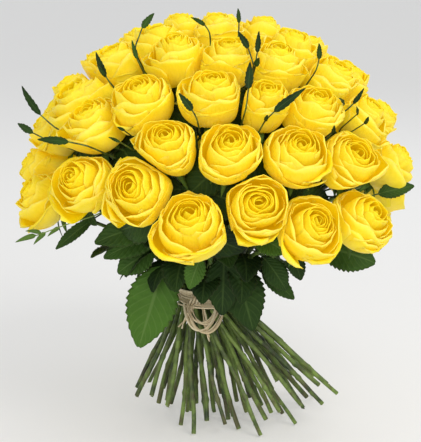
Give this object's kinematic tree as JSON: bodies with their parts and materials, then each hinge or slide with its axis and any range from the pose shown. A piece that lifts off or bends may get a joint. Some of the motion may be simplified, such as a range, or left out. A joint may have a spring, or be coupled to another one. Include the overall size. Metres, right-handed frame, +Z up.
{
  "type": "bouquet of roses",
  "caption": "Hand-tied round bouquet of yellow roses with leafy green stems, bound with raffia and standing on its spread, cut stem ends.",
  "frame": {"origin": "on the floor, at the cut end of the middle stem", "axes": "+Z up from the floor to the dome of blooms, -Y to the front that the picture shows, +X to that front's right"},
  "size_m": [0.3973, 0.3918, 0.4209],
  "materials": {
    "petals": "matte",
    "greenery": "satin",
    "raffia": "matte"
  },
  "bodies": {
    "root": {"bloom_01": "petals", "bloom_02": "petals", "bloom_03": "petals", "bloom_04": "petals", "bloom_05": "petals", "bloom_06": "petals", "bloom_07": "petals", "bloom_08": "petals", "bloom_09": "petals", "bloom_10": "petals", "bloom_11": "petals", "bloom_12": "petals", "bloom_13": "petals", "bloom_14": "petals", "bloom_15": "petals", "bloom_16": "petals", "bloom_17": "petals", "bloom_18": "petals", "bloom_19": "petals", "bloom_20": "petals", "bloom_21": "petals", "bloom_22": "petals", "bloom_23": "petals", "bloom_24": "petals", "bloom_25": "petals", "bloom_26": "petals", "bloom_27": "petals", "bloom_28": "petals", "bloom_29": "petals", "bloom_30": "petals", "bloom_31": "petals", "bloom_32": "petals", "bloom_33": "petals", "bloom_34": "petals", "bloom_35": "petals", "bloom_36": "petals", "bloom_37": "petals", "bloom_38": "petals", "bloom_39": "petals", "bloom_40": "petals", "bloom_41": "petals", "bloom_42": "petals", "bloom_43": "petals", "bloom_44": "petals", "bloom_45": "petals", "bloom_46": "petals", "bloom_47": "petals", "bloom_48": "petals", "bloom_49": "petals", "bloom_50": "petals", "bloom_51": "petals", "bloom_52": "petals", "bloom_53": "petals", "bloom_54": "petals", "bloom_55": "petals", "bloom_56": "petals", "bloom_57": "petals", "bloom_58": "petals", "stems_and_leaves": "greenery", "raffia_tie": "raffia"}
  },
  "joints": []
}
